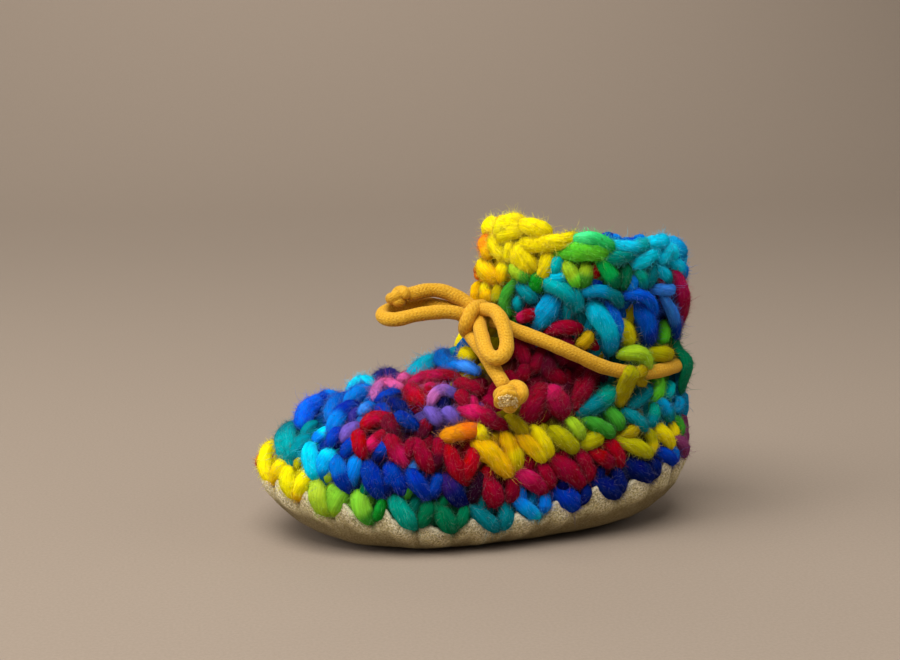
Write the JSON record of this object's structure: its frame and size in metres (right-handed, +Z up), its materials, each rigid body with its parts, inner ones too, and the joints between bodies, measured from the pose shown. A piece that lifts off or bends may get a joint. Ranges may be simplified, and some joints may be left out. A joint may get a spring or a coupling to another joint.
{
  "type": "baby slipper",
  "caption": "Soft baby bootie: turned-up suede sole with a scalloped sewn edge, hollow crocheted wool upper with a closed ankle cuff, fleece insole and a braided ankle tie in a bow.",
  "frame": {"origin": "on the floor, under the middle of the slipper's own box without the bow", "axes": "+X towards the heel, -X towards the toe, -Y towards the side that the picture shows, +Z up"},
  "size_m": [0.1306, 0.0707, 0.0933],
  "materials": {
    "suede": "khaki-beige suede with a fine napped surface and a raw, paler cut edge",
    "wool": "thick fuzzy roving wool in rainbow runs: yellow, lime, green, teal, blue, purple, crimson, red and orange",
    "fleece": "undyed wool fleece",
    "cord": "golden-yellow round braided cord, matt"
  },
  "bodies": {
    "root": {"sole": "suede", "insole": "fleece", "upper": "wool", "tie_band": "cord", "tie_knot": "cord", "tie_loop_left": "cord", "tie_loop_low": "cord", "tie_tail_left": "cord", "tie_tail_left_knot": "cord", "tie_tail_low": "cord", "tie_tail_low_knot": "cord"}
  },
  "joints": []
}
